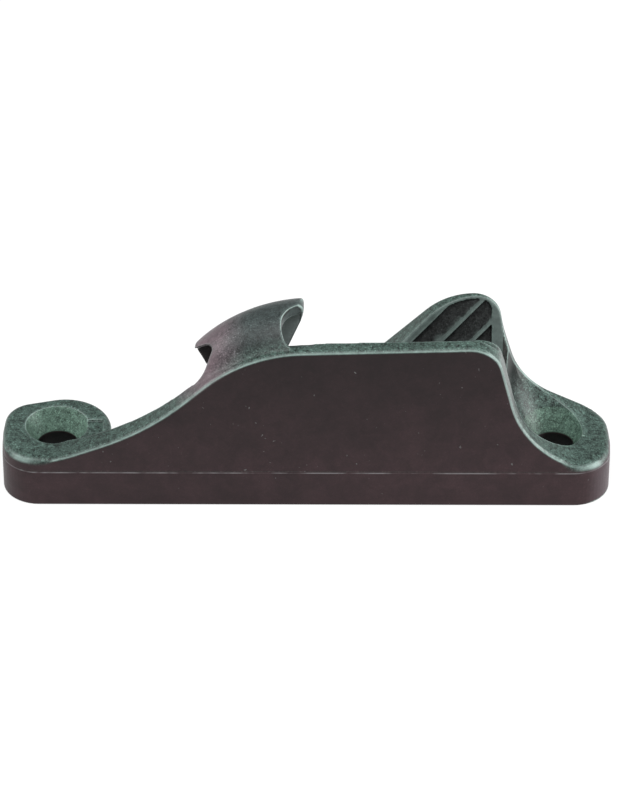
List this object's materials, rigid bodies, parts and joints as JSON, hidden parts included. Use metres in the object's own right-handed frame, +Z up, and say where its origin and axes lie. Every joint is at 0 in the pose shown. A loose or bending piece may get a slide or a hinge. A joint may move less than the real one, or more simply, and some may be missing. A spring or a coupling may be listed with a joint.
{
  "type": "jam cleat",
  "caption": "Side-entry jam cleat cast in one piece: toothed V-groove for a thin line, an open rope channel with a keeper arched over it, and a screw boss at each end.",
  "frame": {"origin": "middle of the flat base, on the mounting surface", "axes": "+X along the cleat towards the rope's tail end, +Y to the open side where the rope is laid in, +Z up from the deck"},
  "size_m": [0.0824, 0.0148, 0.0285],
  "materials": {
    "anodised_casting": "dark hard-anodised cast surface, satin with a fine grain"
  },
  "bodies": {
    "root": {"cleat_body": "anodised_casting"}
  },
  "joints": []
}
